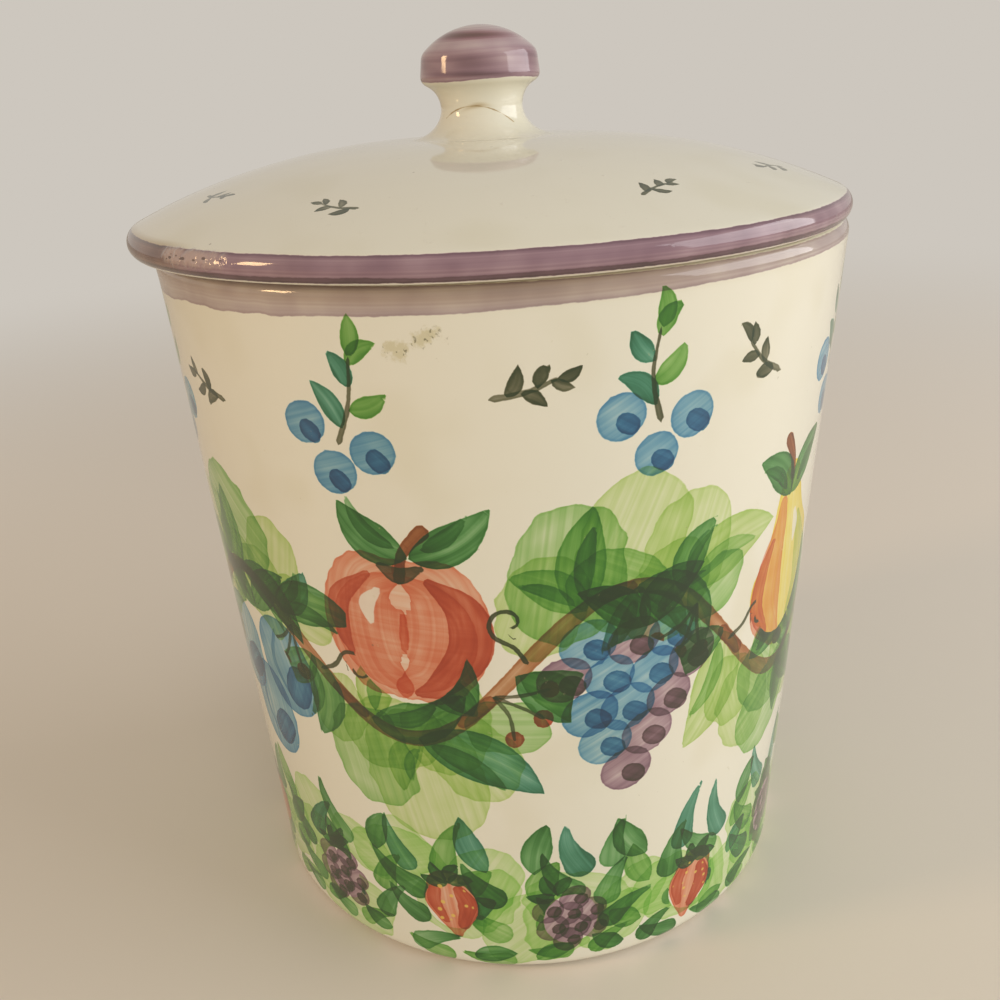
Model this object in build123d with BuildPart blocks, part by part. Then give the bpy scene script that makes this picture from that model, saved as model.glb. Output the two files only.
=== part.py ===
"""Round tapering pottery canister with a lift-off domed lid and a mushroom knob.

Lengths are millimetres. The origin is the middle of the jar's flat base, and +Z is up.
The lid lies a little to the left of the jar's axis, within the play of its flange.
"""

import math
import os

from build123d import *

# Jar
JAR_HEIGHT = 200.8
JAR_TOP_RADIUS = 96.9
JAR_BASE_RADIUS = 84.9
JAR_WALL = 5.2
JAR_FLOOR = 6.0
FOOT_ROUNDING = 5.0
LIP_OUTER_SHARE = 0.62
LIP_INNER_SHARE = 0.3
FLOOR_ROUNDING = 8.0

# Lid
SEAT_GAP = 0.3
LID_SHIFT = 3.0
LID_RADIUS = 100.0
LID_WALL = 5.0
RIM_HEIGHT = 6.8
RIM_LOWER_INSET = 1.8
RIM_UPPER_INSET = 2.3
DOME_RISE = 16.4
FLANGE_DEPTH = 9.0
FLANGE_WALL = 4.5
FLANGE_GAP = 0.5
FLANGE_ROUNDING = 1.5

# Neck, part on the lid and part on the knob, with heights above the dome
NECK_RADIUS = 11.4
FLARE_WIDTH = 10.0
SEAM_HEIGHT = 5.8
WAIST_HEIGHT = 7.7

# Cap of the knob, with heights above the waist of the neck
CAP_RADIUS = 16.95
CAP_EDGE_HEIGHT = 6.3
CAP_SHOULDER_INSET = 0.95
CAP_SHOULDER_HEIGHT = 13.8
CAP_TOP_HEIGHT = 20.9
CAP_SHOULDER_ROUNDING = 4.0
CAP_EDGE_ROUNDING = 2.2

# Sizes worked out from the driving ones
taper = (JAR_TOP_RADIUS - JAR_BASE_RADIUS) / JAR_HEIGHT
seat_level = JAR_HEIGHT + SEAT_GAP
flange_level = seat_level - FLANGE_DEPTH
rim_level = seat_level + RIM_HEIGHT
dome_level = rim_level + DOME_RISE
seam_level = dome_level + SEAM_HEIGHT
waist_level = dome_level + WAIST_HEIGHT
rim_lower_radius = LID_RADIUS - RIM_LOWER_INSET
rim_upper_radius = LID_RADIUS - RIM_UPPER_INSET
dome_foot_radius = NECK_RADIUS + FLARE_WIDTH
dome_reach = rim_upper_radius - dome_foot_radius
dome_radius = (dome_reach**2 + DOME_RISE**2) / (2 * DOME_RISE)
lid_axis = Axis((-LID_SHIFT, 0, 0), (0, 0, 1))
lid_plane = Plane(origin=(-LID_SHIFT, 0, 0), x_dir=(1, 0, 0), z_dir=(0, -1, 0))


def flat_rings(part):
    """Return the part's level circular edges, grouped from the lowest to the highest."""
    return part.edges().filter_by(GeomType.CIRCLE).filter_by(Plane.XY).group_by(Axis.Z)


def jar_inner_radius(height):
    """Return the radius inside the jar's wall at a height above its base."""
    return JAR_BASE_RADIUS + taper * height - JAR_WALL


def dome_underside(radius):
    """Return the level of the dome's underside at a distance from the lid's axis."""
    reach = radius - dome_foot_radius
    return dome_level - dome_radius + math.sqrt((dome_radius - LID_WALL) ** 2 - reach**2)


flange_radius = jar_inner_radius(flange_level) - LID_SHIFT - FLANGE_GAP
flange_inner_radius = flange_radius - FLANGE_WALL

os.makedirs("parts", exist_ok=True)

# Jar: a floor and a tapering wall with a rounded foot and lip
with BuildPart() as jar:
    with BuildSketch(Plane.XZ):
        with BuildLine():
            Polyline(
                (0, 0),
                (JAR_BASE_RADIUS, 0),
                (JAR_TOP_RADIUS, JAR_HEIGHT),
                (jar_inner_radius(JAR_HEIGHT), JAR_HEIGHT),
                (jar_inner_radius(JAR_FLOOR), JAR_FLOOR),
                (0, JAR_FLOOR),
                close=True,
            )
        make_face()
    revolve(axis=Axis.Z)
    rings = flat_rings(jar)
    fillet(rings[0], radius=FOOT_ROUNDING)
    fillet(rings[1], radius=FLOOR_ROUNDING)
    fillet(flat_rings(jar)[-1].sort_by(SortBy.RADIUS)[-1], radius=LIP_OUTER_SHARE * JAR_WALL)
    fillet(flat_rings(jar)[-1].sort_by(SortBy.RADIUS)[0], radius=LIP_INNER_SHARE * JAR_WALL)

# Lid: a dome with a rounded rim, a locating flange and the neck up to the seam
with BuildPart() as lid:
    with BuildSketch(lid_plane):
        with BuildLine():
            Polyline(
                (0, dome_level - LID_WALL),
                (0, waist_level),
                (NECK_RADIUS, waist_level),
            )
            EllipticalCenterArc(
                center=(dome_foot_radius, waist_level),
                x_radius=FLARE_WIDTH,
                y_radius=WAIST_HEIGHT,
                start_angle=180,
                arc_size=90,
            )
            TangentArc(
                (dome_foot_radius, dome_level),
                (rim_upper_radius, rim_level),
                tangent=(1, 0),
            )
            ThreePointArc(
                (rim_upper_radius, rim_level),
                (LID_RADIUS, (rim_level + seat_level) / 2),
                (rim_lower_radius, seat_level),
            )
            Polyline(
                (rim_lower_radius, seat_level),
                (flange_radius, seat_level),
                (flange_radius, flange_level),
                (flange_inner_radius, flange_level),
                (flange_inner_radius, dome_underside(flange_inner_radius)),
            )
            TangentArc(
                (dome_foot_radius, dome_level - LID_WALL),
                (flange_inner_radius, dome_underside(flange_inner_radius)),
                tangent=(1, 0),
            )
            Line((dome_foot_radius, dome_level - LID_WALL), (0, dome_level - LID_WALL))
        make_face()
    revolve(axis=lid_axis)
    split(bisect_by=Plane.XY.offset(seam_level), keep=Keep.BOTTOM)
    fillet(flat_rings(lid)[0], radius=FLANGE_ROUNDING)

# Knob: the neck above the seam and the mushroom cap
with BuildPart() as knob:
    with BuildSketch(lid_plane):
        with BuildLine():
            EllipticalCenterArc(
                center=(dome_foot_radius, waist_level),
                x_radius=FLARE_WIDTH,
                y_radius=WAIST_HEIGHT,
                start_angle=180,
                arc_size=90,
            )
            TangentArc(
                (NECK_RADIUS, waist_level),
                (CAP_RADIUS, waist_level + CAP_EDGE_HEIGHT),
                tangent=(0, 1),
            )
            Line(
                (CAP_RADIUS, waist_level + CAP_EDGE_HEIGHT),
                (CAP_RADIUS - CAP_SHOULDER_INSET, waist_level + CAP_SHOULDER_HEIGHT),
            )
            TangentArc(
                (0, waist_level + CAP_TOP_HEIGHT),
                (CAP_RADIUS - CAP_SHOULDER_INSET, waist_level + CAP_SHOULDER_HEIGHT),
                tangent=(1, 0),
            )
            Polyline(
                (0, waist_level + CAP_TOP_HEIGHT),
                (0, dome_level),
                (dome_foot_radius, dome_level),
            )
        make_face()
    revolve(axis=lid_axis)
    split(bisect_by=Plane.XY.offset(seam_level), keep=Keep.TOP)
    rings = flat_rings(knob)
    fillet(rings[-1], radius=CAP_SHOULDER_ROUNDING)
    fillet(rings[-2], radius=CAP_EDGE_ROUNDING)

jar.part.label = "jar"
lid.part.label = "lid"
knob.part.label = "knob"
export_step(jar.part, "parts/jar.step")
export_step(lid.part, "parts/lid.step")
export_step(knob.part, "parts/knob.step")

print("overall height", round(knob.part.bounding_box().max.Z, 2))
print("flange radius", round(flange_radius, 2), "dome arc radius", round(dome_radius, 2))
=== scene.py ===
"""Looks of a round pottery canister with a lift-off lid and a mushroom knob, built around its CAD frame.

The three pieces are turned like pots on a wheel, and the painting is laid on them stroke by stroke.
Sizes are millimetres on the pot, and every mesh is in metres in the frame of the CAD model.
"""

import logging
import math
import random
from collections.abc import Callable
from dataclasses import dataclass, field, replace
from enum import Enum
from functools import cached_property

import bpy
import numpy as np
from mathutils import Euler, Matrix, Vector, noise


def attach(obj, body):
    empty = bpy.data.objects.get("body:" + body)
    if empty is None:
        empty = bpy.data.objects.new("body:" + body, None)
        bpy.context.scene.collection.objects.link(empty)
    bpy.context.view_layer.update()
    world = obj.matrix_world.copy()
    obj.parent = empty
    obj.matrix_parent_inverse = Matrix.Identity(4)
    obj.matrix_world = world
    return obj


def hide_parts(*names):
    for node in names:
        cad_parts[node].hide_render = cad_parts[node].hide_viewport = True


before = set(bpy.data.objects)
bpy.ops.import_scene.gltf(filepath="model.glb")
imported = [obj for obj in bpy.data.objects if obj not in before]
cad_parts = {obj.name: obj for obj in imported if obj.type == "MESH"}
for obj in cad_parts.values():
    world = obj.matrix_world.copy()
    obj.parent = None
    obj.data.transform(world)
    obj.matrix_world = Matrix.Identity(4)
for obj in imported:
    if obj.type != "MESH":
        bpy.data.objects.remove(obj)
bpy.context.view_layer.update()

Array = np.ndarray
Pair = tuple[float, float]
Triple = tuple[float, float, float]
Colour = Triple
Socket = bpy.types.NodeSocket

LOG = logging.getLogger("canister")
MM = 0.001
DISPLAY_GAMMA = 2.2

# How strokes are written on a mesh, in millimetres
FAR = 50.0  # stands for no paint near
REACH = 2.2  # how far outside its edge a stroke is written
NEIGHBOUR = 4.2  # the longest step between vertices
APART = 2.3  # the room between two broad strokes of a layer
FINE = 1.5  # the half width below which a stroke is thin
SHOWN = 0.6  # how near a vertex has to be for a stroke to show
STRAY = 0.2  # steps of noise along each millimetre of a rough edge


class Form(Enum):
    """How a brush is pressed and lifted along one stroke."""

    LEAF = "pointed at both ends"
    DROP = "round head and tapering tail"


class Ink(Enum):
    """The colour, in display values, that a full load of each glaze colour gives on white."""

    LEAF_PALE = (178, 222, 136)
    LEAF_LIGHT = (166, 204, 106)
    LEAF_MID = (102, 164, 68)
    LEAF_DARK = (54, 118, 52)
    TEAL = (48, 118, 98)
    BLUE_WASH = (102, 160, 208)
    BLUE_DEEP = (42, 102, 160)
    RED_WASH = (228, 126, 100)
    RED_DEEP = (192, 66, 48)
    YELLOW = (244, 216, 72)
    OCHRE = (222, 164, 60)
    RUST = (164, 88, 52)
    MAUVE = (158, 121, 152)
    MAUVE_PALE = (196, 178, 192)
    MAUVE_DEEP = (112, 72, 98)
    WINE = (108, 44, 62)
    OLIVE_BLACK = (72, 66, 52)
    UMBER = (150, 118, 84)
    BARE = (255, 255, 255)

    def passed_light(self, loads: Array) -> Array:
        """Return the share of light that the colour lets through at each load, per channel."""
        return (np.array(self.value)[None] / 255.0) ** (DISPLAY_GAMMA * loads[:, None])


def smooth_step(values: Array, low: float, high: float) -> Array:
    """Return 0 below low and 1 above high, with a smooth rise between."""
    u = np.clip((values - low) / (high - low), 0.0, 1.0)
    return u * u * (3 - 2 * u)


def ring_noise(turn: float, reach: float, seed: float) -> float:
    """Return a noise that meets itself after a full turn, at an angle in radians."""
    return noise.noise(Vector((math.cos(turn) * reach, math.sin(turn) * reach, seed)))


def reached(points: Array) -> Array:
    """Return how far along a chain each of its points lies."""
    return np.concatenate([[0.0], np.cumsum(np.hypot(*np.diff(points, axis=0).T))])


def reached_at(outline: Array, radius: float, height: float) -> float:
    """Return how far along a profile its point nearest to a radius and height lies."""
    return float(reached(outline)[np.hypot(*(outline - (radius, height)).T).argmin()])


def walk(points: Array, distances: Array) -> Array:
    """Return the points at some distances along a chain, one row for each."""
    return np.stack([np.interp(distances, reached(points), points[:, k]) for k in (0, 1)], axis=1)


def deselect_all() -> None:
    """Leave nothing selected."""
    bpy.ops.object.select_all(action="DESELECT")


def vertex_places(mesh: bpy.types.Mesh) -> Array:
    """Read where a mesh's vertices are.

    Args:
        mesh: The mesh.

    Returns:
        One row of millimetres for each vertex.
    """
    flat = np.empty(len(mesh.vertices) * 3)
    mesh.vertices.foreach_get("co", flat)
    return flat.reshape(-1, 3) / MM


@dataclass
class Run:
    """One smooth stretch of a profile, its point spacing and the rounding of the corner before it."""

    points: Array
    pitch: float
    rounding: float
    nudge: float = 0.02

    @property
    def length(self) -> float:
        """Return the length of the stretch."""
        return float(reached(self.points)[-1])

    def heading(self, distance: float) -> Array:
        """Return the unit direction at a distance along the stretch."""
        a, b = walk(self.points, np.clip([distance - self.nudge, distance + self.nudge], 0.0, self.length))
        return (b - a) / np.hypot(*(b - a))

    def corner(self, after: "Run") -> tuple[float, Array]:
        """Round the corner between this stretch and the next.

        Args:
            after: The next stretch.

        Returns:
            The length that the corner takes from each stretch, and its points.
        """
        bend = math.acos(max(-1.0, min(1.0, float(self.heading(self.length) @ after.heading(0.0)))))
        reach = after.rounding * math.tan(bend / 2)
        a, b = walk(self.points, [self.length - reach]), walk(after.points, [reach])
        handle = reach * 4 / 3 * math.tan(bend / 4) / math.tan(bend / 2)
        c, d = a + self.heading(self.length - reach) * handle, b - after.heading(reach) * handle
        u = np.linspace(0.0, 1.0, 9)[1:-1, None]
        return reach, (1 - u) ** 3 * a + 3 * u * (1 - u) ** 2 * c + 3 * u * u * (1 - u) * d + u**3 * b


@dataclass
class Profile:
    """Half the section of a turned piece: radius and height in millimetres, from axis to axis."""

    start: Pair
    runs: list[Run] = field(default_factory=list)

    def line(self, radius: float, height: float, pitch: float, rounding: float = 0.0) -> "Profile":
        """Go straight to a point in steps of a pitch, after a corner of some rounding."""
        before = self.runs[-1].points[-1] if self.runs else self.start
        return self.add(np.array([before, (radius, height)], float), pitch, rounding)

    def arc(self, centre: Pair, radii: Pair, angles: Pair, pitch: float, rounding: float = 0.0) -> "Profile":
        """Go round an ellipse from one angle to another, in degrees."""
        turn = np.radians(np.linspace(*angles, 400))
        return self.add(np.stack([np.cos(turn), np.sin(turn)], axis=1) * radii + centre, pitch, rounding)

    def add(self, points: Array, pitch: float, rounding: float) -> "Profile":
        """Add one stretch and return the profile itself."""
        self.runs.append(Run(points, pitch, rounding))
        return self

    def outline(self) -> Array:
        """Join the stretches and round the corners between them.

        Returns:
            The whole chain of points.
        """
        chain: list[Array] = []
        cut = 0.0
        for run, after in zip(self.runs, [*self.runs[1:], None]):
            reach, corner = run.corner(after) if after and after.rounding else (0.0, run.points[:0])
            count = max(1, round((run.length - cut - reach) / run.pitch))
            chain += [walk(run.points, np.linspace(cut, run.length - reach, count + 1)), corner]
            cut = reach
        points = np.concatenate(chain)
        apart = np.hypot(*np.diff(points, axis=0).T) > 1e-4
        return points[np.concatenate([[True], apart])]


class Surface:
    """The skin of a turned piece, unrolled: where each vertex lies round and along the profile."""

    def __init__(self, mesh: bpy.types.Mesh, outline: Array, axis: float, zero: float) -> None:
        """Measure a piece.

        Args:
            mesh: Its mesh.
            outline: The profile it was turned from.
            axis: Its turning axis along x in millimetres.
            zero: Distance along the profile that is called zero.
        """
        x, y, z = vertex_places(mesh).T
        self.mesh = mesh
        self.radius = np.hypot(x - axis, y)
        self.angle = np.degrees(np.arctan2(x - axis, -y))
        parts = np.array_split(np.stack([self.radius, z], axis=1), 16)
        nearest = [((part[:, None] - outline) ** 2).sum(axis=2).argmin(axis=1) for part in parts]
        self.along = (reached(outline) - zero)[np.concatenate(nearest)]

    def local(self, angle: float, along: float) -> tuple[Array, Array]:
        """Return every vertex's offsets, right and up, from a spot given in degrees and millimetres."""
        round_by = np.radians((self.angle - angle + 180.0) % 360.0 - 180.0)
        return round_by * self.radius, self.along - along


@dataclass
class Touch:
    """What a stroke leaves on the vertices round it.

    The path has rows of seed, distance across and, for a thin stroke, half width. The edge is how far a
    vertex lies outside a broad stroke, the gap how far outside any stroke, and gone is the share of the
    stroke's length that lies behind it.
    """

    near: Array
    path: Array
    edge: Array
    gap: Array
    gone: Array
    fine: bool


@dataclass(frozen=True)
class Stroke:
    """One pull of a loaded brush, in millimetres from the spot where its motif stands."""

    spine: Array
    widths: Array
    ink: Ink
    load: float = 1.0
    rough: float = 0.0
    cover: bool = False
    pool: float = 0.0

    def touch(self, x: Array, y: Array, seed: float) -> Touch:
        """Press the stroke on a surface.

        Args:
            x: Every vertex's offset to the right.
            y: Its offset upwards.
            seed: Sets one stroke's streaks and roughness apart from another's.

        Returns:
            What it leaves.
        """
        margin = float(self.widths.max()) + NEIGHBOUR + self.rough
        low, high = self.spine.min(axis=0) - margin, self.spine.max(axis=0) + margin
        near = np.flatnonzero((x > low[0]) & (x < high[0]) & (y > low[1]) & (y < high[1]))
        x, y, rows = x[near], y[near], np.arange(len(near))
        step, passed = np.diff(self.spine, axis=0), reached(self.spine)
        length = np.hypot(*step.T)
        off = np.stack([x, y], axis=1)[:, None, :] - self.spine[:-1]
        share = (off * step).sum(axis=2) / length**2
        held = np.clip(share, 0.0, 1.0)
        gap = np.hypot(*np.moveaxis(off - held[..., None] * step, 2, 0))
        k = gap.argmin(axis=1)
        share, held, gap, off = share[rows, k], held[rows, k], gap[rows, k], off[rows, k]
        before = np.where(k == 0, np.maximum(0.0, -share), 0.0)
        over = (before + np.where(k == len(length) - 1, np.maximum(0.0, share - 1.0), 0.0)) * length[k]
        across = (step[k, 0] * off[:, 1] - step[k, 1] * off[:, 0]) / length[k]
        across = np.where(over > 0.0, across, np.where(across < 0.0, -gap, gap))
        half = self.widths[k] + held * (self.widths[k + 1] - self.widths[k])
        fine = float(self.widths.max()) < FINE
        outside = np.abs(across) - half + over if fine else gap - half
        if self.rough > 0.0:
            strays = [noise.noise(Vector((u, v, seed))) for u, v in zip(x * STRAY, y * STRAY)]
            outside += self.rough * np.array(strays)
        none = np.full(len(x), FAR)
        path = np.stack([np.full(len(x), seed), across, half - over if fine else none], axis=1)
        gone = (passed[k] + held * length[k]) / passed[-1]
        return Touch(near, path, -none if fine else outside, outside, gone, fine)


Strokes = list[Stroke]


@dataclass
class Layer:
    """Strokes that lie side by side, written as one set of attributes."""

    count: int

    def __post_init__(self) -> None:
        """Start with no paint on any vertex."""
        self.path = np.tile(np.array([0.0, 0.0, -FAR]), (self.count, 1))
        self.edge, self.gap = np.full(self.count, FAR), np.full(self.count, FAR)
        self.ink, self.thin = np.ones((self.count, 4)), np.zeros(self.count, bool)

    def has_room(self, touch: Touch) -> bool:
        """Tell whether a stroke can lie here without its edge running into another's.

        Args:
            touch: The stroke's touch. A thin one shares no triangle with another.

        Returns:
            Whether there is room.
        """
        wide = touch.near[touch.gap < NEIGHBOUR]
        if touch.fine or self.thin[wide].any():
            return not (self.gap[wide] < REACH).any()
        return float((touch.gap + self.gap[touch.near]).min()) > APART

    def take(self, touch: Touch, ink: Array) -> None:
        """Write one stroke where it is nearer than the layer's others.

        Args:
            touch: The stroke's touch.
            ink: The light that it lets through at each of its vertices.
        """
        own = touch.gap < np.minimum(self.gap[touch.near], REACH)
        wet = touch.near[own]
        self.path[wet], self.edge[wet], self.gap[wet] = touch.path[own], touch.edge[own], touch.gap[own]
        self.ink[wet, :3], self.thin[wet] = ink[own], touch.fine


class Painting:
    """All the strokes on one surface, sorted into layers, with soft patches of colour under them."""

    def __init__(self, surface: Surface) -> None:
        """Start with a bare surface.

        Args:
            surface: The surface to paint.
        """
        self.surface = surface
        self.washes: list[Layer] = []
        self.covers: list[Layer] = []
        self.resist = np.full(len(surface.angle), -FAR)
        self.tint = np.ones((len(surface.angle), 4))
        self.count = 0

    def reserve(self, angle: float, along: float, radius: float, stretch: float) -> None:
        """Keep a spot, stretched upwards, free of the strokes that are laid from now on."""
        x, y = self.surface.local(angle, along)
        self.resist = np.maximum(self.resist, radius - np.hypot(x, y / stretch))

    def lay(self, strokes: Strokes, angle: float, along: float, inside: bool = False) -> None:
        """Paint one motif.

        Args:
            strokes: Its strokes, first to last.
            angle: Where it stands round the piece, in degrees.
            along: Where it stands along the profile, in millimetres.
            inside: Whether it is painted in a reserved spot too.
        """
        x, y = self.surface.local(angle, along)
        for stroke in strokes:
            self.count += 1
            touch = stroke.touch(x, y, self.count * 7.3 % 97)
            if not (touch.gap < SHOWN).any():
                continue
            layers = self.covers if stroke.cover else self.washes
            if not any(layer.has_room(touch) for layer in layers):
                layers.append(Layer(len(x)))
            layer = next(layer for layer in layers if layer.has_room(touch))
            if not inside:
                touch.edge = np.maximum(touch.edge, self.resist[touch.near])
            load = stroke.load * (1.0 + stroke.pool * (2 * touch.gone - 1))
            layer.take(touch, stroke.ink.passed_light(load))

    def ring(self, radius: float, edges: Callable[[float], Pair], ink: Ink, load: float,
             steps: int = 180) -> None:
        """Pull a closed band round the piece.

        Args:
            radius: Its distance from the axis.
            edges: Gives its lower and upper edge at an angle in radians.
            ink: Its colour.
            load: How much colour is on the brush.
            steps: How many straight stretches it has.
        """
        turns = np.radians(np.linspace(-180, 180, steps + 1))
        low, high = np.array([edges(turn) for turn in turns]).T
        spine = np.stack([turns * radius, (low + high) / 2], axis=1)
        self.lay([Stroke(spine, (high - low) / 2, ink, load)], 0, 0)

    def join(self, ink: Ink, angle: float, low: float, high: float) -> None:
        """Darken a band softly where its end runs over its start.

        Args:
            ink: The band's colour.
            angle: Where it does so, in degrees.
            low: The band's lower edge along the profile.
            high: Its upper edge.
        """
        x, y = self.surface.local(angle, (low + high) / 2)
        half, slant = (high - low) / 2, x + 0.4 * y
        along = smooth_step(slant, -9.0, -8.0) * smooth_step(slant, 9.0, 2.0)
        self.shade(ink, 0.55 * along * smooth_step(np.abs(y), half, half - 0.8))

    def shade(self, ink: Ink, loads: Array) -> None:
        """Lay a soft patch of colour, with its load given for each vertex."""
        self.tint[:, :3] *= ink.passed_light(loads)

    def mark(self, name: str, values: Array, kind: str = "FLOAT", part: str = "value") -> None:
        """Store values for the mesh's vertices under a name."""
        self.surface.mesh.attributes.new(name, kind, "POINT").data.foreach_set(part, values.ravel())

    def write(self) -> None:
        """Store the layers and the soft colour."""
        for k, layer in enumerate([*self.washes, *self.covers]):
            self.mark(f"path_{k}", layer.path, "FLOAT_VECTOR", "vector")
            self.mark(f"edge_{k}", layer.edge)
            self.mark(f"ink_{k}", layer.ink, "FLOAT_COLOR", "color")
        self.mark("soft_ink", self.tint, "FLOAT_COLOR", "color")


@dataclass
class Brush:
    """Makes strokes with a hand's small differences, the same ones on every run."""

    seed: int

    def __post_init__(self) -> None:
        """Start the hand's differences."""
        self.random = random.Random(self.seed)

    def between(self, low: float, high: float) -> float:
        """Return a value between two others."""
        return self.random.uniform(low, high)

    def slip(self, size: float) -> float:
        """Return a difference of up to some size, either way."""
        return self.between(-size, size)

    def vary(self, value: float, share: float) -> float:
        """Return a value that is off by up to a share of itself."""
        return value * (1.0 + self.slip(share))

    def stroke(self, root: Pair, heading: float, length: float, width: float, ink: Ink, bend: float,
               load: float, form: Form = Form.LEAF) -> Stroke:
        """Pull one stroke.

        Args:
            root: Where it starts.
            heading: Its direction in degrees, 0 to the right and 90 up.
            length: Its length.
            width: Its half width where it is broadest.
            ink: Its colour.
            bend: How far it bows to the left, as a share of its length.
            load: How much colour is on the brush.
            form: How the brush is pressed.

        Returns:
            The stroke.
        """
        u = np.linspace(0.0, 1.0, 13)
        # The first of these draws changes nothing and only keeps the order of draws
        turn = math.radians(self.vary(heading, 0.0) + self.slip(4.0))
        ahead = np.array([math.cos(turn), math.sin(turn)])
        aside = np.array([-ahead[1], ahead[0]])
        length, width = self.vary(length, 0.07), self.vary(width, 0.09)
        bow = self.vary(bend, 0.25) * length
        spine = np.array(root) + np.outer(u * length, ahead) + np.outer(np.sin(u * math.pi) * bow, aside)
        leaf = np.maximum(np.sin(math.pi * u**0.82), 0.0) ** 0.85
        pressed = leaf if form is Form.LEAF else (1.0 - u) ** 0.8
        return Stroke(spine, pressed * width, ink, self.vary(load, 0.12), pool=self.between(-0.35, 0.45))

    def shape(self, points: list[Triple], ink: Ink, load: float) -> Stroke:
        """Pull a smooth stroke through points.

        Args:
            points: Right, up and half width at each of them.
            ink: Its colour.
            load: How much colour is on the brush.

        Returns:
            The stroke.
        """
        given = np.array(points, float)
        u = np.linspace(0.0, len(given) - 1.0, max(9, 4 * len(given)))
        k = np.minimum(u.astype(int), len(given) - 2)
        t = (u - k)[:, None]
        padded = np.concatenate([[2 * given[0] - given[1]], given, [2 * given[-1] - given[-2]]])
        a, b, c, d = (padded[k + n] for n in range(4))
        bend = (2 * a - 5 * b + 4 * c - d) * t**2 + (3 * b - a - 3 * c + d) * t**3
        smooth = 0.5 * (2 * b + (c - a) * t + bend)
        return Stroke(smooth[:, :2], np.maximum(smooth[:, 2], 0.0), ink, self.vary(load, 0.08))

    def glint(self, points: list[Triple]) -> Stroke:
        """Wipe a highlight out of the paint."""
        return replace(self.shape(points, Ink.BARE, 0.0), cover=True)

    def dab(self, centre: Pair, radius: float, ink: Ink, load: float, stretch: float, heading: float = 30.0,
            rough: float = 0.0) -> Stroke:
        """Press one round patch.

        Args:
            centre: Its middle.
            radius: Its radius.
            ink: Its colour.
            load: How much colour is on the brush.
            stretch: How far it is drawn out, as a share of its radius.
            heading: The direction it is drawn out in, in degrees.
            rough: How far its edge strays.

        Returns:
            The stroke.
        """
        turn, radius = math.radians(heading), self.vary(radius, 0.06)
        half = np.array([math.cos(turn), math.sin(turn)]) * radius * stretch
        spine = np.array(centre) + np.outer((-1, 0, 1), half)
        return Stroke(spine, np.array([0.94, 1.0, 0.92]) * radius, ink, self.vary(load, 0.1), rough)

    def line(self, points: list[Pair], width: float, ink: Ink, load: float, tail: float) -> Stroke:
        """Draw a thin line whose half width goes down to a share of itself, the tail."""
        widths = np.linspace(1.0, tail, len(points)) * width
        return self.shape([(x, y, w) for (x, y), w in zip(points, widths)], ink, load)


def turned(strokes: Strokes, by: float, scale: float = 1.0, mirror: bool = False) -> Strokes:
    """Turn and scale a motif.

    Args:
        strokes: The motif.
        by: Degrees to turn it by, to the left.
        scale: Its new size as a share of the old.
        mirror: Whether it is flipped left to right first.

    Returns:
        New strokes.
    """
    c, s = math.cos(math.radians(by)) * scale, math.sin(math.radians(by)) * scale
    flip = -1.0 if mirror else 1.0
    grid = np.array([[c * flip, s * flip], [-s, c]])
    return [replace(stroke, spine=stroke.spine @ grid, widths=stroke.widths * scale) for stroke in strokes]


class Fruit(Enum):
    """The fruits of the garland."""

    PEAR = "pear"
    GRAPES = "grapes"
    APPLE = "apple"
    PLUMS = "plums"
    LEMON = "lemon"
    FIG = "fig"


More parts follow.
